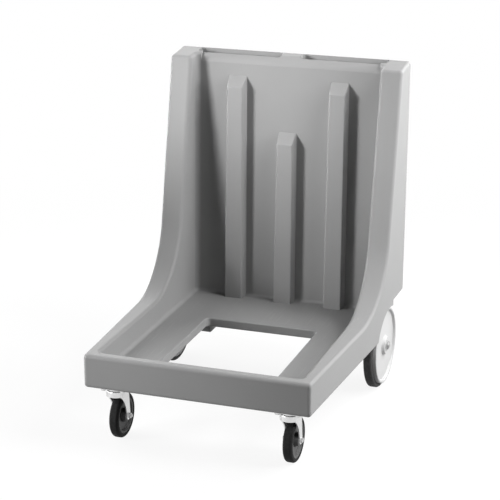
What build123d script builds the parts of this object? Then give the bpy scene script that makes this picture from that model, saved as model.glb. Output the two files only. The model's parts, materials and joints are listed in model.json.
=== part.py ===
from build123d import *
import os
from math import atan2, cos, pi, radians, sin, tan

# Food carrier dolly: a one-piece moulded body on two swivel casters and two large rear wheels.
# Millimetres. The front faces -Y, right as seen from the front is +X, the ground is Z = 0.

os.makedirs("parts", exist_ok=True)

# Moulded body
DEPTH = 856.0
HEIGHT = 946.0
REAR_WIDTH = 708.0
FLARE_LENGTH = 620.0
FLARE_BLEND_RADIUS = 2500.0
FLOOR_THICKNESS = 27.0
RAIL_HEIGHT = 96.0
RAIL_THICKNESS = 31.0
SIDE_RAIL_THICKNESS = 31.5
WING_DEPTH_AT_TOP = 102.5
WING_LEAN = 11.75
WING_SWEEP_RADIUS = 230.0
TOP_FALL = 12.0
PANEL_FOOT_FROM_BACK = 81.5
PANEL_LEAN = 1.95
BACK_LEAN = 1.6
SKIN = 5.5

# Roundings of the moulding
SIDE_RADIUS = 9.0
PROFILE_EXTRA = 1.5
LOAD_FOOT_RADIUS = 11.0
LOAD_CORNER_EXTRA = 3.0
RIM_EXTRA = 0.5
LIP_ROLL = 21.0
LIP_ROLL_BULGE = 4.0
LEG_EDGE_RADIUS = 4.0
PAD_EDGE_RADIUS = 1.5

# Opening in the tray floor
OPENING_WIDTH = 341.0
OPENING_FRONT_MARGIN = 99.5
OPENING_REAR_MARGIN = 222.0
OPENING_CORNER_RADIUS = 14.0
OPENING_EDGE_RADIUS = 4.0

# Ribs on the back panel
RIB_SPACING = 157.5
RIB_DEPTH = 32.0
RIB_FACE_WIDTH_TOP = 48.0
RIB_FACE_WIDTH_FOOT = 55.0
RIB_SIDE_SPREAD = 4.5
RIB_CAP_SPREAD = 34.0
OUTER_RIB_BELOW_TOP = 65.0
MIDDLE_RIB_BELOW_OUTER = 161.0
RIB_EDGE_RADIUS = 4.0
RIB_ROOT = 3.0

# Hand holds sunk into the top rim
HANDHOLD_BRIDGE = 60.0
HANDHOLD_LENGTH = 262.0
HANDHOLD_WIDTH = 34.0
HANDHOLD_DEPTH = 46.0
HANDHOLD_LIP = 9.0
HANDHOLD_CORNER_RADIUS = 9.0

# Rear axle and wheels
REAR_AXLE_FROM_BACK = 178.0
REAR_AXLE_DIAMETER = 16.0
REAR_WHEEL_DIAMETER = 254.0
REAR_TYRE_WIDTH = 26.0
REAR_TYRE_DEPTH = 13.0
REAR_TYRE_SHOULDER = 6.0
REAR_DISC_PROUD = 11.0
REAR_RIM_LIP = 8.0
REAR_RIM_ROUNDING = 3.0
REAR_DISH_DEPTH = 7.0
REAR_WEB = 9.0
REAR_HUB_DIAMETER = 52.0
REAR_HUB_PROUD = 1.5
REAR_BEARING_WALL = 5.0
WELL_WALL = 8.0
WELL_SIDE_CLEARANCE = 13.0
WELL_CLEARANCE = 5.0
WELL_LIP = 16.4
WELL_LIP_CLEARANCE = 1.6
ARCH_CLEARANCE = 4.0
REAR_CUT_BEHIND_AXLE = 43.0
REAR_CUT_ABOVE_WHEEL = 1.5
REAR_SLANT_RUN = 31.0
AXLE_LEG_LENGTH = 76.0
AXLE_LEG_WIDTH = 102.0
AXLE_LEG_BELOW_AXLE = 18.0
AXLE_LEG_RADIUS = 16.0
AXLE_TUBE_WALL = 3.0
AXLE_WASHER_DIAMETER = 32.0
AXLE_WASHER_THICKNESS = 2.0
AXLE_CLIP_DIAMETER = 25.0
AXLE_CLIP_THICKNESS = 3.5
AXLE_END_LENGTH = 1.5

# Front casters
CASTER_FROM_SIDE = 71.5
CASTER_FROM_FRONT = 54.0
CASTER_TRAIL = 34.0
CASTER_PAD_DROP = 3.5
CASTER_PAD_MARGIN = 6.0
CASTER_WHEEL_HEADROOM = 23.25
PLATE_THICKNESS = 4.0
PLATE_CORNER_RADIUS = 8.0
BOLT_SPACING_X = 56.0
BOLT_SPACING_Y = 46.0
BOLT_EDGE_X = 8.0
BOLT_EDGE_Y = 9.0
BOLT_DIAMETER = 8.0
BOLT_HEAD_WIDTH = 13.0
BOLT_HEAD_HEIGHT = 4.0
BOLT_LENGTH = 22.0
BOLT_WASHER_DIAMETER = 15.0
BOLT_WASHER_THICKNESS = 1.2
INSERT_DIAMETER = 14.0
INSERT_LENGTH = 24.0
INSERT_BOSS_WALL = 4.0
RACE_CLEARANCE = 2.3
RACE_WALL = 2.5
RACE_HEIGHT = 5.0
BALL_DIAMETER = 6.4
BALL_COUNT = 14
BALL_PITCH_DIAMETER = 36.0
KING_PIN_DIAMETER = 12.0
KING_HEAD_DIAMETER = 22.0
KING_HEAD_HEIGHT = 4.0
FORK_SHEET = 3.5
FORK_CROWN_OVERHANG = 2.0
FORK_CROWN_HEIGHT = 17.0
FORK_CROWN_ROUNDING = 3.0
FORK_SIDE_GAP = 3.5
FORK_LEG_FRONT = 20.0
FORK_LEG_REAR = 38.0
FORK_LEG_SHOULDER = 14.0
FORK_FRONT_HOLLOW = 11.0
FORK_EYE_RADIUS = 12.0
CASTER_WHEEL_DIAMETER = 127.0
CASTER_WHEEL_WIDTH = 27.0
CASTER_TREAD_DEPTH = 12.0
CASTER_TREAD_SHOULDER = 8.0
CASTER_RIM_LIP = 6.0
CASTER_RIM_INSET = 1.5
CASTER_DISH_DEPTH = 7.0
CASTER_HUB_DIAMETER = 34.0
CASTER_BUSH_WALL = 3.0
CASTER_SLEEVE_DIAMETER = 13.0
CASTER_BOLT_DIAMETER = 8.0
CASTER_BOLT_HEAD_WIDTH = 13.0
CASTER_BOLT_HEAD_HEIGHT = 5.3
CASTER_NUT_HEIGHT = 7.0
CASTER_BOLT_END = 3.0

# Clearances
RUNNING_CLEARANCE = 0.05
HOLE_CLEARANCE = 0.3
SIDE_CLEARANCE = 0.5
BALL_CLEARANCE = 0.3
TOUCH = 0.01

# Places worked out from the dimensions above. The back's sharp top corner lies a little behind BACK_Y,
# so that the rounded corner ends there.
FRONT_Y = -DEPTH / 2
BACK_Y = DEPTH / 2
BALL_GAP = BALL_DIAMETER + BALL_CLEARANCE + RUNNING_CLEARANCE
CROWN_Z = CASTER_WHEEL_DIAMETER + CASTER_WHEEL_HEADROOM + FORK_SHEET
PLATE_Z = CROWN_Z + BALL_GAP
PAD_Z = PLATE_Z + PLATE_THICKNESS
UNDERSIDE_Z = PAD_Z + CASTER_PAD_DROP
RIM_Z = UNDERSIDE_Z + RAIL_HEIGHT
FLOOR_Z = UNDERSIDE_Z + FLOOR_THICKNESS
WING_TOP_Y = BACK_Y - WING_DEPTH_AT_TOP
WING_TOP_Z = HEIGHT - TOP_FALL
WING_FOOT_Y = WING_TOP_Y - (WING_TOP_Z - RIM_Z) * tan(radians(WING_LEAN))
RAIL_INNER_Y = FRONT_Y + RAIL_THICKNESS
PANEL_FOOT_Y = BACK_Y - PANEL_FOOT_FROM_BACK
OPENING_REAR_Y = PANEL_FOOT_Y - OPENING_REAR_MARGIN
OPENING_LENGTH = OPENING_REAR_Y - RAIL_INNER_Y - OPENING_FRONT_MARGIN
OPENING_CENTRE_Y = OPENING_REAR_Y - OPENING_LENGTH / 2
OUTER_RIB_HEIGHT = HEIGHT - OUTER_RIB_BELOW_TOP - RIB_CAP_SPREAD - FLOOR_Z
MIDDLE_RIB_HEIGHT = OUTER_RIB_HEIGHT - MIDDLE_RIB_BELOW_OUTER
REAR_AXLE_Y = BACK_Y - REAR_AXLE_FROM_BACK
REAR_AXLE_RADIUS = REAR_AXLE_DIAMETER / 2
REAR_AXLE_Z = REAR_WHEEL_DIAMETER / 2
REAR_DISC_RADIUS = REAR_WHEEL_DIAMETER / 2 - REAR_TYRE_DEPTH
REAR_CUT_Z = REAR_WHEEL_DIAMETER + REAR_CUT_ABOVE_WHEEL
FLARE_END_Y = FRONT_Y + FLARE_LENGTH
RIM_RADIUS = SIDE_RADIUS + RIM_EXTRA
PROFILE_RADIUS = SIDE_RADIUS + PROFILE_EXTRA
LEAN_ANGLE = radians(BACK_LEAN)
HALF_CORNER_ANGLE = (pi / 2 - LEAN_ANGLE - atan2(TOP_FALL, WING_DEPTH_AT_TOP)) / 2
BACK_CORNER_Y = BACK_Y + PROFILE_RADIUS * (sin(LEAN_ANGLE) / tan(HALF_CORNER_ANGLE) + cos(LEAN_ANGLE) - 1)
BACK_FOOT_Y = BACK_CORNER_Y - (HEIGHT - REAR_CUT_Z) * tan(LEAN_ANGLE)
LOAD_CORNER_RADIUS = LOAD_FOOT_RADIUS + LOAD_CORNER_EXTRA
WELL_RADIUS = REAR_WHEEL_DIAMETER / 2 + WELL_CLEARANCE
ARCH_RADIUS = REAR_DISC_RADIUS + ARCH_CLEARANCE
WELL_LIP_X = REAR_WIDTH / 2 - WELL_LIP
TYRE_OUTER_X = WELL_LIP_X - WELL_LIP_CLEARANCE
TYRE_INNER_X = TYRE_OUTER_X - REAR_TYRE_WIDTH
WELL_X = TYRE_INNER_X - WELL_SIDE_CLEARANCE
LOAD_HALF = WELL_X - WELL_WALL
FRONT_HALF = LOAD_HALF + SIDE_RAIL_THICKNESS
AXLE_LEG_INNER_X = WELL_X - AXLE_LEG_WIDTH
DISC_OUTER_X = TYRE_OUTER_X + REAR_DISC_PROUD
HUB_INNER_X = WELL_X + AXLE_WASHER_THICKNESS + SIDE_CLEARANCE
HUB_OUTER_X = DISC_OUTER_X + REAR_HUB_PROUD
OUTER_WASHER_X = HUB_OUTER_X + SIDE_CLEARANCE
AXLE_CLIP_X = OUTER_WASHER_X + AXLE_WASHER_THICKNESS
AXLE_END_X = AXLE_CLIP_X + AXLE_CLIP_THICKNESS + AXLE_END_LENGTH
CASTER_X = FRONT_HALF - CASTER_FROM_SIDE
CASTER_Y = FRONT_Y + CASTER_FROM_FRONT
PLATE_WIDTH = BOLT_SPACING_X + BOLT_EDGE_X * 2
PLATE_LENGTH = BOLT_SPACING_Y + BOLT_EDGE_Y * 2
RACE_RADIUS = (BALL_PITCH_DIAMETER + BALL_DIAMETER) / 2 + RACE_CLEARANCE + RACE_WALL
FORK_CROWN_RADIUS = RACE_RADIUS + FORK_CROWN_OVERHANG
FORK_GAP = CASTER_WHEEL_WIDTH + FORK_SIDE_GAP * 2
FORK_HALF = FORK_GAP / 2 + FORK_SHEET
CASTER_AXLE_Y = CASTER_Y + CASTER_TRAIL
CASTER_AXLE_Z = CASTER_WHEEL_DIAMETER / 2
CASTER_RIM_RADIUS = CASTER_WHEEL_DIAMETER / 2 - CASTER_TREAD_DEPTH
CASTER_HUB_WIDTH = FORK_GAP - SIDE_CLEARANCE * 2
SLEEVE_RADIUS = CASTER_SLEEVE_DIAMETER / 2
BUSH_BORE_RADIUS = SLEEVE_RADIUS + RUNNING_CLEARANCE
BUSH_RADIUS = BUSH_BORE_RADIUS + CASTER_BUSH_WALL
BEARING_BORE_RADIUS = REAR_AXLE_RADIUS + RUNNING_CLEARANCE
BEARING_RADIUS = BEARING_BORE_RADIUS + REAR_BEARING_WALL
BEARING_LENGTH = HUB_OUTER_X - HUB_INNER_X
AXLE_TUBE_RADIUS = REAR_AXLE_RADIUS + AXLE_TUBE_WALL
AXLE_WASHER_RADIUS = AXLE_WASHER_DIAMETER / 2
AXLE_CLIP_RADIUS = AXLE_CLIP_DIAMETER / 2


def save(piece, label):
    """Label a finished piece and write it as its own file."""
    piece.label = label
    export_step(piece, f"parts/{label}.step")


def save_pair(piece, label):
    """Write a right-hand piece and its mirror image on the left."""
    save(piece, f"right_{label}")
    save(mirror(piece, about=Plane.YZ), f"left_{label}")


def axial_plane(y, z):
    """A plane with X along a wheel axle and Y along the wheel's radius."""
    return Plane(origin=(0, y, z), x_dir=(1, 0, 0), z_dir=(0, -1, 0))


def touches(edge, solid):
    """Whether the middle of an edge lies on the skin of a solid."""
    return solid.shell().distance_to(edge.position_at(0.5)) < TOUCH


def outer_form(inset):
    """The body's outer block, with every face moved in by inset."""
    corners = [
        (FRONT_Y, UNDERSIDE_Z),
        (FRONT_Y, RIM_Z),
        (WING_FOOT_Y, RIM_Z),
        (WING_TOP_Y, WING_TOP_Z),
        (BACK_CORNER_Y, HEIGHT),
        (BACK_FOOT_Y, REAR_CUT_Z),
        (BACK_FOOT_Y - REAR_SLANT_RUN, UNDERSIDE_Z),
    ]
    radii = [PROFILE_RADIUS] * len(corners)
    radii[2] = WING_SWEEP_RADIUS
    rear = REAR_WIDTH / 2
    flare = (rear - FRONT_HALF) / FLARE_LENGTH
    front = FRONT_HALF - flare * RAIL_HEIGHT
    with BuildPart() as form:
        with BuildSketch(Plane.YZ):
            with BuildLine():
                FilletPolyline(*corners, radius=radii, close=True)
            make_face()
            if inset:
                offset(amount=-inset, mode=Mode.REPLACE)
        extrude(amount=REAR_WIDTH, both=True)
        with BuildSketch(Plane.XY) as plan:
            Polygon(
                (-front, FRONT_Y - RAIL_HEIGHT),
                (front, FRONT_Y - RAIL_HEIGHT),
                (rear, FLARE_END_Y),
                (rear, BACK_Y + RAIL_HEIGHT),
                (-rear, BACK_Y + RAIL_HEIGHT),
                (-rear, FLARE_END_Y),
                align=None,
            )
            fillet(plan.vertices().group_by(Axis.Y)[1], radius=FLARE_BLEND_RADIUS)
            if inset:
                offset(amount=-inset, mode=Mode.REPLACE)
        extrude(amount=HEIGHT * 2, mode=Mode.INTERSECT)
    return form.part


def load_space(grow):
    """The tray's load space, open at the top, with every wall moved out by grow."""
    lean = radians(PANEL_LEAN)
    leaning = Plane(
        origin=(0, PANEL_FOOT_Y, FLOOR_Z),
        x_dir=(1, 0, 0),
        z_dir=(0, sin(lean), cos(lean)),
    )
    length = (PANEL_FOOT_Y - RAIL_INNER_Y) * cos(lean)
    with BuildPart() as space:
        with BuildSketch(leaning):
            with Locations((0, -length / 2)):
                RectangleRounded(LOAD_HALF * 2 + grow * 2, length + grow * 2, LOAD_CORNER_RADIUS + grow)
        extrude(amount=HEIGHT, both=True)
        with BuildSketch(Plane.XY.offset(FLOOR_Z - grow)):
            Rectangle(REAR_WIDTH * 2, DEPTH * 2)
        extrude(amount=HEIGHT * 2, mode=Mode.INTERSECT)
        if not grow:
            fillet(space.edges().group_by(Axis.Z)[0], radius=LOAD_FOOT_RADIUS)
    return space.part


def rib(centre_x, height, inset):
    """One drafted rib on the back panel, standing on the tray floor."""
    lean = radians(PANEL_LEAN)
    panel = Plane(
        origin=(centre_x, PANEL_FOOT_Y, FLOOR_Z),
        x_dir=(1, 0, 0),
        z_dir=(0, -cos(lean), sin(lean)),
    )
    foot = RIB_FACE_WIDTH_FOOT / 2 - inset
    top = RIB_FACE_WIDTH_TOP / 2 - inset
    root = SKIN * 2 if inset else RIB_ROOT
    with BuildPart() as piece:
        for level, spread, cap in ((-root, RIB_SIDE_SPREAD, RIB_CAP_SPREAD), (RIB_DEPTH - inset, 0, 0)):
            with BuildSketch(panel.offset(level)):
                Polygon(
                    (-foot - spread, -RIB_ROOT),
                    (foot + spread, -RIB_ROOT),
                    (top + spread, height + cap - inset),
                    (-top - spread, height + cap - inset),
                    align=None,
                )
        loft(ruled=True)
        if not inset:
            fixed = piece.faces().sort_by(Axis.Y)[-1].edges() + piece.faces().sort_by(Axis.Z)[0].edges()
            fillet(piece.edges() - fixed, radius=RIB_EDGE_RADIUS)
    return piece.part


def ribs(inset):
    """The two tall outer ribs and the shorter middle rib."""
    return [
        rib(-RIB_SPACING, OUTER_RIB_HEIGHT, inset),
        rib(0, MIDDLE_RIB_HEIGHT, inset),
        rib(RIB_SPACING, OUTER_RIB_HEIGHT, inset),
    ]


def handholds(grow):
    """The two hand holds sunk into the top rim, side by side."""
    middle_x = (HANDHOLD_BRIDGE + HANDHOLD_LENGTH) / 2
    middle_y = BACK_Y - HANDHOLD_LIP - HANDHOLD_WIDTH / 2
    with BuildPart() as holds:
        with BuildSketch(Plane.XY.offset(HEIGHT - HANDHOLD_DEPTH - grow)):
            with Locations((middle_x, middle_y), (-middle_x, middle_y)):
                RectangleRounded(
                    HANDHOLD_LENGTH + grow * 2,
                    HANDHOLD_WIDTH + grow * 2,
                    HANDHOLD_CORNER_RADIUS + grow,
                )
        extrude(amount=HEIGHT)
        if not grow:
            fillet(holds.edges().group_by(Axis.Z)[0], radius=HANDHOLD_CORNER_RADIUS / 2)
    return holds.part


def lip_roll(grow):
    """What the rolled front lip of the panel's top edge takes away, moved in by grow."""
    lean = tan(radians(PANEL_LEAN))
    slope = TOP_FALL / WING_DEPTH_AT_TOP
    foot_z = HEIGHT - TOP_FALL - LIP_ROLL - grow
    foot_y = PANEL_FOOT_Y + (foot_z - FLOOR_Z) * lean
    crest_y = foot_y + LIP_ROLL + grow
    crest_z = WING_TOP_Z + (crest_y - WING_TOP_Y) * slope
    with BuildPart() as roll:
        with BuildSketch(Plane.YZ):
            with BuildLine():
                SagittaArc((foot_y, foot_z), (crest_y, crest_z), LIP_ROLL_BULGE)
                Polyline(
                    (crest_y, crest_z),
                    (crest_y, crest_z + LIP_ROLL),
                    (foot_y - LIP_ROLL, crest_z + LIP_ROLL),
                    (foot_y - LIP_ROLL, foot_z),
                    (foot_y, foot_z),
                )
            make_face()
        extrude(amount=LOAD_HALF - LOAD_CORNER_RADIUS + grow, both=True)
    return roll.part


def floor_opening(grow):
    """The opening through the tray floor."""
    with BuildPart() as opening:
        with BuildSketch(Plane.XY.offset(UNDERSIDE_Z - FLOOR_THICKNESS)):
            with Locations((0, OPENING_CENTRE_Y)):
                RectangleRounded(
                    OPENING_WIDTH + grow * 2,
                    OPENING_LENGTH + grow * 2,
                    OPENING_CORNER_RADIUS + grow,
                )
        extrude(amount=FLOOR_THICKNESS * 3)
    return opening.part


def wheel_wells(grow):
    """The wells that the rear wheels turn in, their arches and the cut behind them."""
    radius = WELL_RADIUS + grow
    with BuildPart() as wells:
        with BuildSketch(Plane.YZ.offset(WELL_X - grow)):
            with Locations((REAR_AXLE_Y, REAR_AXLE_Z)):
                Circle(radius)
                Rectangle(radius * 2, REAR_AXLE_Z, align=(Align.CENTER, Align.MAX))
        extrude(amount=WELL_LIP_X - WELL_X + grow * 2)
        with BuildSketch(Plane.YZ.offset(WELL_LIP_X - grow)):
            with Locations((REAR_AXLE_Y, REAR_AXLE_Z)):
                Circle(ARCH_RADIUS + grow)
        extrude(amount=REAR_WIDTH)
        with BuildSketch(Plane.YZ.offset(WELL_X - grow)):
            with Locations((REAR_AXLE_Y + REAR_CUT_BEHIND_AXLE - grow, REAR_CUT_Z + grow)):
                Rectangle(DEPTH, REAR_CUT_Z + grow, align=(Align.MIN, Align.MAX))
        extrude(amount=REAR_WIDTH)
        mirror(about=Plane.YZ)
    return wells.part


def caster_pads():
    """The raised pads under the front corners that the casters bolt to."""
    with BuildPart() as pads:
        with BuildSketch(Plane.XY.offset(PAD_Z)):
            with Locations((CASTER_X, CASTER_Y), (-CASTER_X, CASTER_Y)):
                RectangleRounded(
                    PLATE_WIDTH + CASTER_PAD_MARGIN,
                    PLATE_LENGTH + CASTER_PAD_MARGIN,
                    PLATE_CORNER_RADIUS,
                )
        extrude(amount=CASTER_PAD_DROP + SKIN)
        fillet(pads.edges().group_by(Axis.Z)[0], radius=PAD_EDGE_RADIUS)
    return pads.part


def axle_legs(inset):
    """The legs under the tray floor that carry the rear axle."""
    top = FLOOR_Z - SKIN
    foot = REAR_AXLE_Z - AXLE_LEG_BELOW_AXLE + inset
    with BuildPart() as legs:
        with BuildSketch(Plane.YZ.offset(AXLE_LEG_INNER_X + inset)) as section:
            with Locations((REAR_AXLE_Y, (top + foot) / 2)):
                Rectangle(AXLE_LEG_LENGTH - inset * 2, top - foot)
            fillet(section.vertices().group_by(Axis.Y)[0], radius=AXLE_LEG_RADIUS - inset)
        extrude(amount=AXLE_LEG_WIDTH - inset * 2)
        if not inset:
            fillet(legs.faces().sort_by(Axis.X)[0].edges(), radius=LEG_EDGE_RADIUS)
        mirror(about=Plane.YZ)
    return legs.part


def bolt_places(sides):
    """Centres of the caster bolts on the given sides, as (x, y)."""
    return [
        (side * CASTER_X + dx * BOLT_SPACING_X / 2, CASTER_Y + dy * BOLT_SPACING_Y / 2)
        for side in sides
        for dx in (-1, 1)
        for dy in (-1, 1)
    ]


# The hollow between the walls of the double-walled moulding
inner_outer = outer_form(SKIN)
inner_space = load_space(SKIN)
inner_ribs = ribs(SKIN)
inner_legs = axle_legs(SKIN)
inner_cuts = [floor_opening(SKIN), wheel_wells(SKIN), handholds(SKIN), lip_roll(SKIN)]
with BuildPart() as hollow:
    add(inner_outer)
    add(inner_space, mode=Mode.SUBTRACT)
    add(inner_ribs)
    add(inner_legs)
    add(inner_cuts, mode=Mode.SUBTRACT)
    with BuildSketch(Plane.XY.offset(UNDERSIDE_Z)):
        with Locations(*bolt_places((-1, 1))):
            Circle(INSERT_DIAMETER / 2 + INSERT_BOSS_WALL)
    extrude(amount=FLOOR_THICKNESS, mode=Mode.SUBTRACT)
    with BuildSketch(Plane.YZ):
        with Locations((REAR_AXLE_Y, REAR_AXLE_Z)):
            Circle(AXLE_TUBE_RADIUS + SKIN)
    extrude(amount=WELL_X, both=True, mode=Mode.SUBTRACT)

# The moulded body
outer = outer_form(0)
space = load_space(0)
holds = handholds(0)
wells = wheel_wells(0)
lip = lip_roll(0)
opening = floor_opening(0)
panel_ribs = ribs(0)
legs = axle_legs(0)
pads = caster_pads()
with BuildPart() as body:
    add(outer)
    sides = body.faces().filter_by(lambda face: abs(face.normal_at().X) > 0.9)
    fillet(sides.edges() & (body.faces() - sides).edges(), radius=SIDE_RADIUS)
    add(space, mode=Mode.SUBTRACT)
    rim = body.edges().filter_by(lambda edge: touches(edge, outer) and touches(edge, space))
    fillet(rim, radius=RIM_RADIUS)
    add(opening, mode=Mode.SUBTRACT)
    opening_edges = body.edges().filter_by(lambda edge: touches(edge, opening))
    mouth = opening_edges.filter_by(lambda edge: abs(edge.tangent_at(0.5).Z) < 0.5)
    fillet(mouth, radius=OPENING_EDGE_RADIUS)
    add(lip, mode=Mode.SUBTRACT)
    add(holds, mode=Mode.SUBTRACT)
    add(wells, mode=Mode.SUBTRACT)
    add(panel_ribs)
    add(pads)
    add(legs)
    add(hollow.part, mode=Mode.SUBTRACT)
    with BuildSketch(Plane.XY.offset(PAD_Z)):
        with Locations(*bolt_places((-1, 1))):
            Circle(INSERT_DIAMETER / 2)
    extrude(amount=INSERT_LENGTH, mode=Mode.SUBTRACT)
    with BuildSketch(Plane.YZ):
        with Locations((REAR_AXLE_Y, REAR_AXLE_Z)):
            Circle(AXLE_TUBE_RADIUS)
    extrude(amount=WELL_X + SKIN, both=True, mode=Mode.SUBTRACT)
save(body.part, "body")

# Threaded inserts moulded into the caster pads
with BuildPart() as inserts:
    with BuildSketch(Plane.XY.offset(PAD_Z)):
        with Locations(*bolt_places((-1, 1))):
            Circle(INSERT_DIAMETER / 2)
            Circle(BOLT_DIAMETER / 2, mode=Mode.SUBTRACT)
    extrude(amount=INSERT_LENGTH)
save(inserts.part, "caster_inserts")

# Rear axle and the tubes that carry it in the body's legs
with BuildPart() as axle:
    with BuildSketch(Plane.YZ):
        with Locations((REAR_AXLE_Y, REAR_AXLE_Z)):
            Circle(REAR_AXLE_RADIUS)
    extrude(amount=AXLE_END_X, both=True)
    chamfer(axle.edges(), length=AXLE_END_LENGTH / 2)
save(axle.part, "rear_axle")

with BuildPart() as tube:
    with BuildSketch(Plane.YZ.offset(AXLE_LEG_INNER_X)):
        with Locations((REAR_AXLE_Y, REAR_AXLE_Z)):
            Circle(AXLE_TUBE_RADIUS)
            Circle(REAR_AXLE_RADIUS, mode=Mode.SUBTRACT)
    extrude(amount=AXLE_LEG_WIDTH)
save_pair(tube.part, "axle_tube")


def axle_ring(radius, bore, start_x, length, rounding):
    """A ring round the rear axle on the right-hand side."""
    with BuildPart() as ring:
        with BuildSketch(Plane.YZ.offset(start_x)):
            with Locations((REAR_AXLE_Y, REAR_AXLE_Z)):
                Circle(radius)
                Circle(bore, mode=Mode.SUBTRACT)
        extrude(amount=length)
        if rounding:
            fillet(ring.edges().group_by(Axis.X)[-1].sort_by(SortBy.LENGTH)[-1], radius=rounding)
    return ring.part


inner_washer = axle_ring(AXLE_WASHER_RADIUS, REAR_AXLE_RADIUS, WELL_X, AXLE_WASHER_THICKNESS, 0)
outer_washer = axle_ring(AXLE_WASHER_RADIUS, REAR_AXLE_RADIUS, OUTER_WASHER_X, AXLE_WASHER_THICKNESS, 0)
clip_rounding = AXLE_CLIP_THICKNESS / 2
clip = axle_ring(AXLE_CLIP_RADIUS, REAR_AXLE_RADIUS, AXLE_CLIP_X, AXLE_CLIP_THICKNESS, clip_rounding)
bearing = axle_ring(BEARING_RADIUS, BEARING_BORE_RADIUS, HUB_INNER_X, BEARING_LENGTH, 0)
save_pair(inner_washer, "inner_washer")
save_pair(outer_washer, "outer_washer")
save_pair(clip, "axle_clip")
save_pair(bearing, "rear_bearing")

# Rear tyre
rear_axis = Axis((0, REAR_AXLE_Y, REAR_AXLE_Z), (1, 0, 0))
with BuildPart() as tyre:
    with BuildSketch(axial_plane(REAR_AXLE_Y, REAR_AXLE_Z)) as section:
        with Locations(((TYRE_INNER_X + TYRE_OUTER_X) / 2, REAR_DISC_RADIUS)):
            Rectangle(REAR_TYRE_WIDTH, REAR_TYRE_DEPTH, align=(Align.CENTER, Align.MIN))
        fillet(section.vertices().group_by(Axis.Y)[-1], radius=REAR_TYRE_SHOULDER)
    revolve(axis=rear_axis)
save_pair(tyre.part, "rear_tyre")

# Rear wheel disc: hub, dished web and rim in one moulding
with BuildPart() as disc:
    web_outer_x = DISC_OUTER_X - REAR_DISH_DEPTH
    hub_radius = REAR_HUB_DIAMETER / 2
    lip_radius = REAR_DISC_RADIUS - REAR_RIM_LIP
    with BuildSketch(axial_plane(REAR_AXLE_Y, REAR_AXLE_Z)):
        Polygon(
            (HUB_INNER_X, BEARING_RADIUS),
            (HUB_OUTER_X, BEARING_RADIUS),
            (HUB_OUTER_X, hub_radius),
            (web_outer_x, hub_radius + REAR_DISH_DEPTH / 2),
            (web_outer_x, lip_radius - REAR_DISH_DEPTH / 2),
            (DISC_OUTER_X, lip_radius),
            (DISC_OUTER_X, REAR_DISC_RADIUS),
            (TYRE_INNER_X, REAR_DISC_RADIUS),
            (TYRE_INNER_X, lip_radius),
            (web_outer_x - REAR_WEB, lip_radius - REAR_DISH_DEPTH / 2),
            (web_outer_x - REAR_WEB, hub_radius + REAR_DISH_DEPTH / 2),
            (HUB_INNER_X, hub_radius),
            align=None,
        )
    revolve(axis=rear_axis)
    face_edges = disc.edges().filter_by(GeomType.CIRCLE).group_by(Axis.X)[-2]
    fillet(face_edges, radius=REAR_RIM_ROUNDING)
save_pair(disc.part, "rear_wheel")

# Caster bolts and washers, one group for both casters
with BuildPart() as bolts:
    head_z = PLATE_Z - BOLT_WASHER_THICKNESS - BOLT_HEAD_HEIGHT
    with BuildSketch(Plane.XY.offset(head_z)):
        with Locations(*bolt_places((-1, 1))):
            RegularPolygon(BOLT_HEAD_WIDTH / 2, 6, major_radius=False)
    extrude(amount=BOLT_HEAD_HEIGHT)
    with BuildSketch(Plane.XY.offset(head_z)):
        with Locations(*bolt_places((-1, 1))):
            Circle(BOLT_DIAMETER / 2)
    extrude(amount=BOLT_HEAD_HEIGHT + BOLT_LENGTH)
save(bolts.part, "caster_bolts")

with BuildPart() as washers:
    with BuildSketch(Plane.XY.offset(PLATE_Z)):
        with Locations(*bolt_places((-1, 1))):
            Circle(BOLT_WASHER_DIAMETER / 2)
            Circle(BOLT_DIAMETER / 2, mode=Mode.SUBTRACT)
    extrude(amount=-BOLT_WASHER_THICKNESS)
save(washers.part, "caster_washers")

# Caster top plate with the skirt round the ball race
with BuildPart() as plate:
    with BuildSketch(Plane.XY.offset(PAD_Z)):
        with Locations((CASTER_X, CASTER_Y)):
            RectangleRounded(PLATE_WIDTH, PLATE_LENGTH, PLATE_CORNER_RADIUS)
            Circle(KING_PIN_DIAMETER / 2, mode=Mode.SUBTRACT)
        with Locations(*bolt_places((1,))):
            Circle(BOLT_DIAMETER / 2 + HOLE_CLEARANCE, mode=Mode.SUBTRACT)
    extrude(amount=-PLATE_THICKNESS)
    with BuildSketch(Plane.XY.offset(PLATE_Z)):
        with Locations((CASTER_X, CASTER_Y)):
            Circle(RACE_RADIUS)
            Circle(RACE_RADIUS - RACE_WALL, mode=Mode.SUBTRACT)
    extrude(amount=-RACE_HEIGHT)
save_pair(plate.part, "caster_plate")

# Balls of the swivel race
with BuildPart() as balls:
    with Locations((CASTER_X, CASTER_Y, PLATE_Z - RUNNING_CLEARANCE - BALL_DIAMETER / 2)):
        with PolarLocations(BALL_PITCH_DIAMETER / 2, BALL_COUNT):
            Sphere(BALL_DIAMETER / 2)
save_pair(balls.part, "swivel_balls")

# King pin, riveted flush into the plate with its head under the fork crown
with BuildPart() as king_pin:
    head_top = CROWN_Z - FORK_SHEET - HOLE_CLEARANCE
    with BuildSketch(Plane.XY.offset(PAD_Z)):
        with Locations((CASTER_X, CASTER_Y)):
            Circle(KING_PIN_DIAMETER / 2)
    extrude(amount=head_top - PAD_Z)
    with BuildSketch(Plane.XY.offset(head_top)):
        with Locations((CASTER_X, CASTER_Y)):
            Circle(KING_HEAD_DIAMETER / 2)
    extrude(amount=-KING_HEAD_HEIGHT)
    fillet(king_pin.edges().group_by(Axis.Z)[0], radius=KING_HEAD_HEIGHT / 2)
save_pair(king_pin.part, "king_pin")

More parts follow.
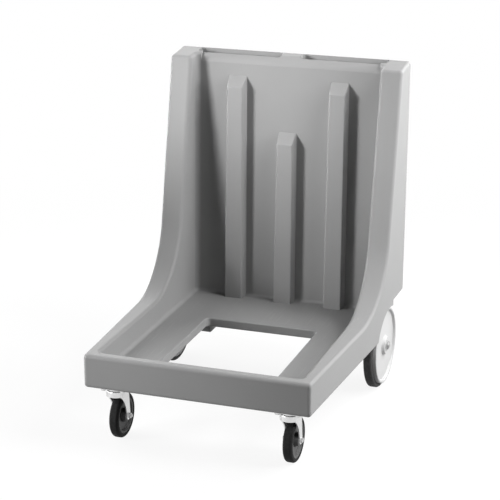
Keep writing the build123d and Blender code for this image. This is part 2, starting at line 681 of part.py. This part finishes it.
# Caster fork: a pressed crown cup with two sheet legs, hollowed at the front
with BuildPart() as fork:
    with BuildSketch(Plane.XY.offset(CROWN_Z)):
        with Locations((CASTER_X, CASTER_Y)):
            Circle(FORK_CROWN_RADIUS)
    extrude(amount=-FORK_CROWN_HEIGHT)
    fillet(fork.edges().group_by(Axis.Z)[-1], radius=FORK_CROWN_ROUNDING)
    leg_top = CROWN_Z - FORK_CROWN_ROUNDING
    shoulder_z = leg_top - FORK_LEG_SHOULDER
    front_y = CASTER_Y - FORK_LEG_FRONT
    rear_y = CASTER_Y + FORK_LEG_REAR
    eye_front = (CASTER_AXLE_Y - FORK_EYE_RADIUS, CASTER_AXLE_Z)
    eye_foot = (CASTER_AXLE_Y, CASTER_AXLE_Z - FORK_EYE_RADIUS)
    eye_rear = (CASTER_AXLE_Y + FORK_EYE_RADIUS, CASTER_AXLE_Z)
    for side in (-1, 1):
        with BuildSketch(Plane.YZ.offset(CASTER_X + side * FORK_GAP / 2)):
            with BuildLine():
                SagittaArc((front_y, shoulder_z), eye_front, FORK_FRONT_HOLLOW)
                ThreePointArc(eye_front, eye_foot, eye_rear)
                Polyline(
                    eye_rear,
                    (rear_y, shoulder_z),
                    (rear_y, leg_top),
                    (front_y, leg_top),
                    (front_y, shoulder_z),
                )
            make_face()
        extrude(amount=side * FORK_SHEET)
    with BuildSketch(Plane.XY.offset(CROWN_Z - FORK_SHEET)):
        with Locations((CASTER_X, CASTER_Y)):
            Circle(FORK_CROWN_RADIUS - FORK_SHEET)
            Rectangle(FORK_GAP, FORK_CROWN_RADIUS * 2, mode=Mode.INTERSECT)
    extrude(amount=-FORK_CROWN_HEIGHT, mode=Mode.SUBTRACT)
    with BuildSketch(Plane.XY.offset(CROWN_Z)):
        with Locations((CASTER_X, CASTER_Y)):
            Circle(KING_PIN_DIAMETER / 2 + RUNNING_CLEARANCE)
    extrude(amount=-FORK_SHEET, mode=Mode.SUBTRACT)
    with BuildSketch(Plane.YZ):
        with Locations((CASTER_AXLE_Y, CASTER_AXLE_Z)):
            Circle(CASTER_BOLT_DIAMETER / 2)
    extrude(amount=CASTER_X * 2, mode=Mode.SUBTRACT)
save_pair(fork.part, "caster_fork")


def caster_ring(radius, bore, half_length):
    """A ring round the right-hand caster's wheel axle."""
    with BuildPart() as ring:
        with BuildSketch(Plane.YZ.offset(CASTER_X)):
            with Locations((CASTER_AXLE_Y, CASTER_AXLE_Z)):
                Circle(radius)
                Circle(bore, mode=Mode.SUBTRACT)
        extrude(amount=half_length, both=True)
    return ring.part


save_pair(caster_ring(SLEEVE_RADIUS, CASTER_BOLT_DIAMETER / 2, FORK_GAP / 2), "caster_sleeve")
save_pair(caster_ring(BUSH_RADIUS, BUSH_BORE_RADIUS, CASTER_HUB_WIDTH / 2), "caster_bush")

# Caster axle bolt and its nut
with BuildPart() as axle_bolt:
    with BuildSketch(Plane.YZ.offset(CASTER_X + FORK_HALF)):
        with Locations((CASTER_AXLE_Y, CASTER_AXLE_Z)):
            RegularPolygon(CASTER_BOLT_HEAD_WIDTH / 2, 6, major_radius=False)
    extrude(amount=CASTER_BOLT_HEAD_HEIGHT)
    with BuildSketch(Plane.YZ.offset(CASTER_X + FORK_HALF)):
        with Locations((CASTER_AXLE_Y, CASTER_AXLE_Z)):
            Circle(CASTER_BOLT_DIAMETER / 2)
    extrude(amount=-FORK_HALF * 2 - CASTER_NUT_HEIGHT - CASTER_BOLT_END)
save_pair(axle_bolt.part, "caster_axle_bolt")

with BuildPart() as axle_nut:
    with BuildSketch(Plane.YZ.offset(CASTER_X - FORK_HALF)):
        with Locations((CASTER_AXLE_Y, CASTER_AXLE_Z)):
            RegularPolygon(CASTER_BOLT_HEAD_WIDTH / 2, 6, major_radius=False)
            Circle(CASTER_BOLT_DIAMETER / 2, mode=Mode.SUBTRACT)
    extrude(amount=-CASTER_NUT_HEIGHT)
save_pair(axle_nut.part, "caster_axle_nut")

# Caster wheel: tread and core
caster_axis = Axis((0, CASTER_AXLE_Y, CASTER_AXLE_Z), (1, 0, 0))
with BuildPart() as tread:
    with BuildSketch(axial_plane(CASTER_AXLE_Y, CASTER_AXLE_Z)) as section:
        with Locations((CASTER_X, CASTER_RIM_RADIUS)):
            Rectangle(CASTER_WHEEL_WIDTH, CASTER_TREAD_DEPTH, align=(Align.CENTER, Align.MIN))
        fillet(section.vertices().group_by(Axis.Y)[-1], radius=CASTER_TREAD_SHOULDER)
    revolve(axis=caster_axis)
save_pair(tread.part, "caster_tread")

with BuildPart() as core:
    rim_half = CASTER_WHEEL_WIDTH / 2 - CASTER_RIM_INSET
    web_half = rim_half - CASTER_DISH_DEPTH
    hub_half = CASTER_HUB_WIDTH / 2
    hub_radius = CASTER_HUB_DIAMETER / 2
    lip_radius = CASTER_RIM_RADIUS - CASTER_RIM_LIP
    slope = CASTER_DISH_DEPTH / 2
    outline = [
        (hub_half, BUSH_RADIUS),
        (hub_half, hub_radius),
        (web_half, hub_radius + slope),
        (web_half, lip_radius - slope),
        (rim_half, lip_radius),
        (rim_half, CASTER_RIM_RADIUS),
    ]
    right_side = [(CASTER_X + x, r) for x, r in outline]
    left_side = [(CASTER_X - x, r) for x, r in reversed(outline)]
    with BuildSketch(axial_plane(CASTER_AXLE_Y, CASTER_AXLE_Z)):
        Polygon(*right_side, *left_side, align=None)
    revolve(axis=caster_axis)
save_pair(core.part, "caster_core")
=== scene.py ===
# %% [markdown]
# # A food carrier dolly
# On the real object one grey plastic moulding makes the tray, the swept side wings and the tall
# back, and four wheels carry it. All of its shapes, sizes and joints are already in the packed
# model, so this lesson only dresses that model: finishes first, then the floor, the light and the
# camera.

# %% Load the imported model
import json
import math
import bpy
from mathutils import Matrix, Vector

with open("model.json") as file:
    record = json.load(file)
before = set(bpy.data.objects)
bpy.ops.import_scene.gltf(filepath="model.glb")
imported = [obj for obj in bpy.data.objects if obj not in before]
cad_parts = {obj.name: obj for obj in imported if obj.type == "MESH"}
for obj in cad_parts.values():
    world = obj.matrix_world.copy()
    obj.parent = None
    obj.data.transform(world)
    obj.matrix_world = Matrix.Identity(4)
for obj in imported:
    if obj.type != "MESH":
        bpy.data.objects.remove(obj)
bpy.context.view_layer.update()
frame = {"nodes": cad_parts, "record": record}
nodes = frame["nodes"]

# %% [markdown]
# ## Shader maths that reads like arithmetic
# A finish is a small network of nodes. It could be wired by hand in the shader editor, or in a
# script with two lines for every link. Here one output socket is wrapped in a class whose operators
# add Math nodes, so `1 - dust * 0.3` means what it says, also when the number comes first.

# %% A socket with operators
class Signal:
    """One output socket of a finish, with Python's operators for shader maths."""

    def __init__(self, finish, socket):
        self.finish = finish
        self.socket = socket

    def maths(self, operation, first, second):
        return self.finish.node("ShaderNodeMath", {"operation": operation}, {0: first, 1: second})

    def __add__(self, other):
        return self.maths("ADD", self, other)

    def __sub__(self, other):
        return self.maths("SUBTRACT", self, other)

    def __rsub__(self, other):
        return self.maths("SUBTRACT", other, self)

    def __mul__(self, other):
        return self.maths("MULTIPLY", self, other)

    def __pow__(self, other):
        return self.maths("POWER", self, other)

    def __rpow__(self, other):
        return self.maths("POWER", other, self)

    __radd__ = __add__
    __rmul__ = __mul__


print("sockets take + - * **")

# %% [markdown]
# ## One class for every finish
# Each finish on the dolly is one Principled shader, because a game engine or another renderer can
# read that too. The class keeps the material and adds nodes to it. A single method adds any node:
# first its settings, such as the operation of a Math node, then the values or links of its sockets.
# The short helpers below it are the few patterns that the finishes share.

# %% A finish that owns its nodes
class Finish:
    """A material with one Principled shader, built up from nodes."""

    def __init__(self, name, constants):
        self.material = bpy.data.materials.new(name)
        self.material.use_nodes = True
        self.tree = self.material.node_tree
        self.shader = self.tree.nodes["Principled BSDF"]
        for socket, value in constants.items():
            self.shader.inputs[socket].default_value = value

    def node(self, kind, settings=None, inputs=None, output=0):
        """Add any node: its settings first, then the values or links of its sockets."""
        made = self.tree.nodes.new(kind)
        for name, value in (settings or {}).items():
            setattr(made, name, value)
        for name, value in (inputs or {}).items():
            if isinstance(value, Signal):
                self.tree.links.new(value.socket, made.inputs[name])
            else:
                made.inputs[name].default_value = value
        return Signal(self, made.outputs[output])

    def place(self, stretch=(1.0, 1.0, 1.0)):
        """Positions on the object in metres, each axis multiplied by its stretch."""
        spot = self.node("ShaderNodeTexCoord", output="Object")
        multiply = {"operation": "MULTIPLY"}
        return self.node("ShaderNodeVectorMath", multiply, {0: spot, 1: stretch})

    def axis(self, vector, letter):
        """One coordinate of a vector."""
        return self.node("ShaderNodeSeparateXYZ", {}, {"Vector": vector}, output=letter)

    def noise(self, size, detail=2.0, roughness=0.5, where=None):
        """Soft random blotches about size metres across, from 0 to 1."""
        values = {"Vector": where or self.place(), "Scale": 1.0 / size}
        values.update({"Detail": detail, "Roughness": roughness})
        return self.node("ShaderNodeTexNoise", {}, values)

    def rise(self, value, low, high):
        """0 below low, 1 above high, smooth between them."""
        limits = {"Value": value, "From Min": low, "From Max": high}
        return self.node("ShaderNodeMapRange", {"interpolation_type": "SMOOTHSTEP"}, limits)

    def from_axle(self, y, z):
        """Distance from a wheel axle that runs along X."""
        spot = self.place()
        return ((self.axis(spot, "Y") - y) ** 2.0 + (self.axis(spot, "Z") - z) ** 2.0) ** 0.5

    def rings(self, radius, size):
        """Fine rings round an axle, as a lathe or a turned mould leaves them."""
        spot = self.node("ShaderNodeCombineXYZ", {}, {"X": radius})
        return self.noise(size, detail=1.0, where=spot)

    def mix(self, first, second, factor):
        """A colour between two colours."""
        colours = {0: factor, 6: first, 7: second}
        return self.node("ShaderNodeMix", {"data_type": "RGBA"}, colours, output=2)

    def bump(self, height, distance):
        """Relief of so many metres from a height of 0 to 1."""
        return self.node("ShaderNodeBump", {}, {"Height": height, "Distance": distance})

    def feed(self, socket, value):
        """Link a varying value to the shader."""
        self.tree.links.new(value.socket, self.shader.inputs[socket])


def grey(level):
    """A neutral colour of one level."""
    return (level, level, level, 1.0)


print("finish helpers ready")

# %% [markdown]
# ## The grey moulding
# The body is rotationally moulded polyethylene: plastic powder melts onto the inside of a hot
# turning mould. That leaves an even grey with faint clouds where the powder melted at different
# speeds, tiny flecks of single grains, and a finely pebbled satin skin that lies in very shallow
# waves. Each of these is one noise at its own scale, with its size in metres. A picture of real
# plastic would show the same, but noise has no seams and stays sharp close up.

# %% Colour and skin of the body
MOULDING_GREY = 0.28
CLOUD_CONTRAST = 0.07
FLECK_SHARE = 0.3
CLOUD_SIZE = 0.16
FLECK_SIZE = 0.0012
WAVE_SIZE = 0.014
PEBBLE_SIZE = 0.0022
moulding = Finish("grey_moulding", {"Specular IOR Level": 0.2})
clouds = moulding.noise(CLOUD_SIZE, detail=3.0)
flecks = moulding.noise(FLECK_SIZE, detail=0.0)
waves = moulding.noise(WAVE_SIZE, detail=1.0)
pebbles = moulding.noise(PEBBLE_SIZE, detail=2.0)
dark = grey(MOULDING_GREY * (1.0 - CLOUD_CONTRAST))
pale = grey(MOULDING_GREY * (1.0 + CLOUD_CONTRAST))
speckle = clouds * (1.0 - FLECK_SHARE) + flecks * FLECK_SHARE
clean = moulding.mix(dark, pale, speckle)
print("body grey", MOULDING_GREY, "in", len(moulding.tree.nodes), "nodes so far")

# %% [markdown]
# ## Rubbing marks in the tray
# Carriers are slid into the tray from the front, so the floor and the rim get faint pale streaks
# along the way in. They could be painted by hand, but a noise that is stretched along Y gives them
# everywhere at once. Two masks keep them where things rub: the surface has to face up, and it has
# to be low enough to belong to the tray.

# %% Streaks on the tray floor and the rim, then the whole finish
FACING_UP = (0.85, 0.98)
TRAY_TOP = (0.27, 0.30)
STREAK_SIZE = 0.004
ALONG_Y = (1.0, 0.03, 1.0)
STREAK_LEVELS = (0.58, 0.72)
RUBBED_GREY = MOULDING_GREY * 1.25
RUBBED_SHARE = 0.35
RUBBED_SHINE = 0.06
SATIN_ROUGHNESS = 0.42
PEBBLE_ROUGHNESS = 0.14
SKIN_RELIEF = 0.00016
surface = moulding.node("ShaderNodeNewGeometry", output="Normal")
facing_up = moulding.rise(moulding.axis(surface, "Z"), *FACING_UP)
in_tray = 1.0 - moulding.rise(moulding.axis(moulding.place(), "Z"), *TRAY_TOP)
lines = moulding.noise(STREAK_SIZE, detail=3.0, where=moulding.place(ALONG_Y))
streaks = moulding.rise(lines, *STREAK_LEVELS)
rubbed = streaks * facing_up * in_tray
skin = waves * 0.5 + pebbles * 0.35 + flecks * 0.15
shine = SATIN_ROUGHNESS + pebbles * PEBBLE_ROUGHNESS - rubbed * RUBBED_SHINE
moulding.feed("Base Color", moulding.mix(clean, grey(RUBBED_GREY), rubbed * RUBBED_SHARE))
moulding.feed("Roughness", shine)
moulding.feed("Normal", moulding.bump(skin, SKIN_RELIEF))
print("finish", moulding.material.name, "with", len(moulding.tree.nodes), "nodes")

# %% [markdown]
# ## Rubber
# The rear tyres are dark grey rubber and the caster treads almost black. Rubber scatters light in
# its pores, so it is rough with little shine, and the part that meets the ground is dusty and paler
# than the side. The distance from the axle tells the two apart. The coordinates belong to the
# wheel's own piece, so the dust turns with the wheel.

# %% Finish of the tyres and the treads
REAR_RADIUS = 0.127
CASTER_RADIUS = 0.0635
REAR_AXLE = (0.250, REAR_RADIUS)
CASTER_AXLE = (-0.340, CASTER_RADIUS)
TREAD_STARTS = 0.004
TREAD_FULL = 0.001
SIDE_DUST = 0.25
DUST_SIZE = 0.009
DUST_LEVELS = (0.35, 0.75)
PORE_SIZE = 0.0006
RUBBER_ROUGHNESS = 0.60
DUST_ROUGHNESS = 0.25
RUBBER_RING = 0.0012
RUBBER_RELIEF = 0.00012


def rubber(name, side, ground, axle, radius):
    """Matt rubber that is dusty where it rolls, round an axle at (y, z)."""
    finish = Finish(name, {"Specular IOR Level": 0.15})
    dust = finish.noise(DUST_SIZE, detail=4.0, roughness=0.65)
    pores = finish.noise(PORE_SIZE, detail=2.0)
    reach = finish.from_axle(*axle)
    rolling = finish.rise(reach, radius - TREAD_STARTS, radius - TREAD_FULL)
    worn = finish.rise(dust, *DUST_LEVELS) * (SIDE_DUST + rolling * (1.0 - SIDE_DUST))
    relief = pores * 0.5 + finish.rings(reach, RUBBER_RING) * 0.5
    finish.feed("Base Color", finish.mix(grey(side), grey(ground), worn))
    finish.feed("Roughness", RUBBER_ROUGHNESS + dust * DUST_ROUGHNESS)
    finish.feed("Normal", finish.bump(relief, RUBBER_RELIEF))
    return finish.material


rear_rubber = rubber("grey_tyre", 0.050, 0.085, REAR_AXLE, REAR_RADIUS)
caster_rubber = rubber("black_tread", 0.010, 0.024, CASTER_AXLE, CASTER_RADIUS)
print("rubber", rear_rubber.name, caster_rubber.name)

# %% [markdown]
# ## Moulded wheels
# The rear wheels are pale smooth plastic and the caster wheels have grey plastic cores. Both come
# from turned moulds, so their faces carry very fine rings, and a little grime gathers towards the
# rim. A plain colour would look like paper next to the tyre.

# %% Finish of the wheel discs, the cores and the bushes
DISC_RIM = 0.114
CORE_RIM = 0.0515
GRIME_STARTS = 0.6
GRIME_DARKENS = 0.8
GRIME_SHARE = 0.4
GRIME_ROUGHNESS = 0.1
SMUDGE_SIZE = 0.03
SMUDGE_LEVELS = (0.35, 0.7)
SMUDGE_CONTRAST = 0.04
SMUDGE_ROUGHNESS = 0.12
MOULD_RING = 0.0009
MOULD_RELIEF = 0.00004


def wheel_plastic(name, level, rough, axle, rim):
    """Smooth plastic with turned rings round an axle at (y, z), greyer towards the rim."""
    finish = Finish(name, {"Specular IOR Level": 0.3})
    reach = finish.from_axle(*axle)
    smudge = finish.noise(SMUDGE_SIZE, detail=4.0, roughness=0.6)
    grime = finish.rise(reach, rim * GRIME_STARTS, rim) * finish.rise(smudge, *SMUDGE_LEVELS)
    low, high = grey(level * (1.0 - SMUDGE_CONTRAST)), grey(level * (1.0 + SMUDGE_CONTRAST))
    even = finish.mix(low, high, smudge)
    finish.feed("Base Color", finish.mix(even, grey(level * GRIME_DARKENS), grime * GRIME_SHARE))
    finish.feed("Roughness", rough + smudge * SMUDGE_ROUGHNESS + grime * GRIME_ROUGHNESS)
    finish.feed("Normal", finish.bump(finish.rings(reach, MOULD_RING), MOULD_RELIEF))
    return finish.material


pale_wheel = wheel_plastic("pale_wheel", 0.50, 0.34, REAR_AXLE, DISC_RIM)
grey_core = wheel_plastic("grey_core", 0.075, 0.42, CASTER_AXLE, CORE_RIM)
nylon = wheel_plastic("nylon", 0.60, 0.40, CASTER_AXLE, CORE_RIM)
print("wheel plastics", pale_wheel.name, grey_core.name, nylon.name)

# %% [markdown]
# ## Plated steel
# The forks, plates and bolts are zinc plated, and the axle is bare turned steel. Plating grows in
# small crystals, so the metal is cloudy: patches that differ a little in colour and shine. The cell
# texture has just such patches. A mirror-clean metal would pick up the white studio evenly and look
# like chrome.

# %% Finish of the sheet metal and the hardware
NEUTRAL = (1.0, 1.0, 1.0)
BRASS_TINT = (1.0, 0.80, 0.42)
CRYSTALS_PER_METRE = 180.0
PATCH_SHARE = 0.35
PATCH_ROUGHNESS = 0.08
PLATING_CLOUD = 0.02
CLOUD_ROUGHNESS = 0.1
SCRATCH_SIZE = 0.0012
ALONG_Z = (1.0, 1.0, 0.08)
SCRATCH_RELIEF = 0.00003


def tinted(level, tint):
    """A colour of one level, multiplied by a tint."""
    return (level * tint[0], level * tint[1], level * tint[2], 1.0)


def plated(name, dark, pale, rough, tint=NEUTRAL):
    """Plated or bare metal with cloudy crystal patches."""
    finish = Finish(name, {"Metallic": 1.0})
    grid = {"Vector": finish.place(), "Scale": CRYSTALS_PER_METRE}
    cells = finish.node("ShaderNodeTexVoronoi", {}, grid, output="Color")
    patch = finish.node("ShaderNodeRGBToBW", {}, {"Color": cells})
    clouds = finish.noise(PLATING_CLOUD, detail=3.0)
    scratches = finish.noise(SCRATCH_SIZE, detail=2.0, where=finish.place(ALONG_Z))
    shade = patch * PATCH_SHARE + clouds * (1.0 - PATCH_SHARE)
    finish.feed("Base Color", finish.mix(tinted(dark, tint), tinted(pale, tint), shade))
    finish.feed("Roughness", rough + patch * PATCH_ROUGHNESS + clouds * CLOUD_ROUGHNESS)
    finish.feed("Normal", finish.bump(scratches, SCRATCH_RELIEF))
    return finish.material


zinc_sheet = plated("zinc_sheet", 0.60, 0.74, 0.26)
zinc_hardware = plated("zinc_hardware", 0.52, 0.64, 0.30)
turned_steel = plated("turned_steel", 0.26, 0.34, 0.32)
ball_steel = plated("ball_steel", 0.66, 0.72, 0.08)
brass = plated("machined_brass", 0.62, 0.72, 0.30, tint=BRASS_TINT)
metals = (zinc_sheet, zinc_hardware, turned_steel, ball_steel, brass)
print("metals", [metal.name for metal in metals])

# %% [markdown]
# ## Dressing the model
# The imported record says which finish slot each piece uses. Going through the record, and not
# through a list of names, means that no piece is left in its plain grey.

# %% Give every piece its finish
finishes = {
    "moulded_body": moulding.material,
    "wheel_disc": pale_wheel,
    "rear_rubber": rear_rubber,
    "caster_rubber": caster_rubber,
    "caster_core": grey_core,
    "zinc_sheet": zinc_sheet,
    "zinc_hardware": zinc_hardware,
    "axle_steel": turned_steel,
    "ball_steel": ball_steel,
    "nylon_bush": nylon,
    "brass_insert": brass,
}
for entry in frame["record"]["subparts"]:
    mesh = nodes[entry["node"]].data
    mesh.materials.clear()
    mesh.materials.append(finishes[entry["material_slot"]])
print("dressed", len(nodes), "nodes in", len(finishes), "finishes")

# %% [markdown]
# ## Floor and background
# The photograph is a cut-out on white. A white floor under strong lamps would throw light back into
# every shadow, so the floor and the world are white only to the rays that come from the camera, a
# mirror or glass. For the light itself the floor is dim and the world is black. Near the dolly a
# small share of the floor is lit by the lamps as any surface is, so that it keeps a soft shadow and
# the wheels stand on something. Further out it turns to plain white and meets the world without a
# line.

# %% A switch between what is seen and what lights
def seen_directly(tree):
    """1 for rays from the camera, a mirror or glass, 0 for light that bounces."""
    path = tree.nodes.new("ShaderNodeLightPath")
    total = path.outputs["Is Camera Ray"]
    for ray in ("Is Glossy Ray", "Is Transmission Ray"):
        step = tree.nodes.new("ShaderNodeMath")
        step.operation = "ADD"
        step.use_clamp = True
        tree.links.new(total, step.inputs[0])
        tree.links.new(path.outputs[ray], step.inputs[1])
        total = step.outputs[0]
    return total


def blend_shaders(tree, factor, first, second, output):
    """Mix two shaders and send them to an output node."""
    blend = tree.nodes.new("ShaderNodeMixShader")
    tree.links.new(factor, blend.inputs[0])
    tree.links.new(first, blend.inputs[1])
    tree.links.new(second, blend.inputs[2])
    tree.links.new(blend.outputs[0], tree.nodes[output].inputs["Surface"])


print("switch ready")

# %% The floor
FLOOR_REACH = 14.0
DIM_PAINT = 0.15
WHITE_PAINT = 0.90
WHITE_NEAR = 0.88
WHITE_FADE = (0.6, 2.6)
corners = [(-1, -1), (1, -1), (1, 1), (-1, 1)]
points = [(x * FLOOR_REACH, y * FLOOR_REACH, 0) for x, y in corners]
floor_mesh = bpy.data.meshes.new("floor")
floor_mesh.from_pydata(points, [], [(0, 1, 2, 3)])
floor = bpy.data.objects.new("floor", floor_mesh)
bpy.context.scene.collection.objects.link(floor)
paper = Finish("white_floor", {"Roughness": 0.9, "Specular IOR Level": 0.0})
seen = Signal(paper, seen_directly(paper.tree))
paper.feed("Base Color", paper.mix(grey(DIM_PAINT), grey(WHITE_PAINT), seen))
length = {"operation": "LENGTH"}
away = paper.node("ShaderNodeVectorMath", length, {0: paper.place()}, output="Value")
share = WHITE_NEAR + paper.rise(away, *WHITE_FADE) * (1.0 - WHITE_NEAR)
glow = paper.node("ShaderNodeEmission", {}, {"Color": grey(1.0)}).socket
lit = paper.shader.outputs[0]
blend_shaders(paper.tree, (seen * share).socket, lit, glow, "Material Output")
floor_mesh.materials.append(paper.material)
print("floor", FLOOR_REACH * 2, "m square")

# %% The world
WORLD_LIGHT = 0.0
world = bpy.data.worlds.new("studio")
bpy.context.scene.world = world
world.use_nodes = True
tree = world.node_tree
dim = tree.nodes["Background"]
dim.inputs["Strength"].default_value = WORLD_LIGHT
white = tree.nodes.new("ShaderNodeBackground")
white.inputs["Color"].default_value = grey(1.0)
blend_shaders(tree, seen_directly(tree), dim.outputs[0], white.outputs[0], "World Output")
print("world light", WORLD_LIGHT)

# %% [markdown]
# ## Light
# The photograph tells where its lamps stood. The left wing throws a shadow on the back panel that
# widens downwards, and the panel is brightest at the top, so the key lamp stands on the left in
# front and is aimed at the panel's top. A narrow spread, like the grid on a studio lamp, keeps it
# off the tray. A second lamp with a narrow spread stands low in front and lights the front rail.
# The outer right side is bright while the panel beside the ribs is dark, so two lamps stand on the
# right, almost in the plane of the panel. One of them is high, so that it reaches over the right
# wing to the right flanks of the ribs. The large lamps on the left and behind light the rim and the
# outer sides, and they show the back when the dolly is turned round.

# %% Lamps
MIDDLE = Vector((0.0, 0.0, 0.5))
PANEL_TOP = Vector((0.0, 0.33, 0.85))
FRONT_RAIL = Vector((0.0, -0.43, 0.22))


def direction(azimuth, elevation):
    """Away from the dolly, by angles in degrees: azimuth 0 is in front, 90 is on the right."""
    turn, rise = math.radians(azimuth), math.radians(elevation)
    level = math.cos(rise)
    return Vector((math.sin(turn) * level, -math.cos(turn) * level, math.sin(rise)))


def softbox(name, azimuth, elevation, distance, size, watts, spread=180.0, aim=MIDDLE):
    """A square lamp round the dolly, with angles in degrees and lengths in metres."""
    lamp = bpy.data.lights.new(name, "AREA")
    lamp.shape = "SQUARE"
    lamp.size = size
    lamp.energy = watts
    lamp.spread = math.radians(spread)
    holder = bpy.data.objects.new(name, lamp)
    holder.location = MIDDLE + direction(azimuth, elevation) * distance
    holder.rotation_euler = (aim - holder.location).to_track_quat("-Z", "Y").to_euler()
    bpy.context.scene.collection.objects.link(holder)


softbox("key_left", -55, 26, 1.6, 0.35, 2.55, spread=42.0, aim=PANEL_TOP)
softbox("low_front", -46, 3, 1.9, 0.6, 2.9, spread=48.0, aim=FRONT_RAIL)
softbox("side_right", 87, 18, 2.4, 0.9, 46.0)
softbox("high_right", 88, 50, 2.2, 0.9, 30.0)
softbox("back_right", 130, 25, 2.4, 1.8, 30.0)
softbox("side_left", -90, 15, 2.2, 1.6, 26.0)
softbox("back", 150, 35, 2.4, 1.8, 20.0)
softbox("back_left", -140, 30, 2.4, 1.8, 24.0)
print("lamps", len(bpy.data.lights))

# %% [markdown]
# ## Camera
# The camera's place and lens were worked out from the photograph's own edges: a long lens about
# five metres away, a little to the right of the front, that looks down at about 18 degrees. A long
# lens keeps the far wheels nearly as large as the near ones, as the photograph does.

# %% Camera at the photograph's angle
CAMERA_AZIMUTH = 19.1
CAMERA_ELEVATION = 18.1
CAMERA_DISTANCE = 4.765
CAMERA_TARGET = Vector((0.0171, -0.028, 0.4729))
LENS_MM = 122.4
SENSOR_MM = 36.0
away = direction(CAMERA_AZIMUTH, CAMERA_ELEVATION)
lens = bpy.data.cameras.new("camera")
lens.lens = LENS_MM
lens.sensor_width = SENSOR_MM
camera = bpy.data.objects.new("camera", lens)
camera.location = CAMERA_TARGET + away * CAMERA_DISTANCE
camera.rotation_euler = (-away).to_track_quat("-Z", "Y").to_euler()
bpy.context.scene.collection.objects.link(camera)
bpy.context.scene.camera = camera
bpy.context.scene.view_settings.view_transform = "Standard"
print("camera at", [round(value, 3) for value in camera.location])
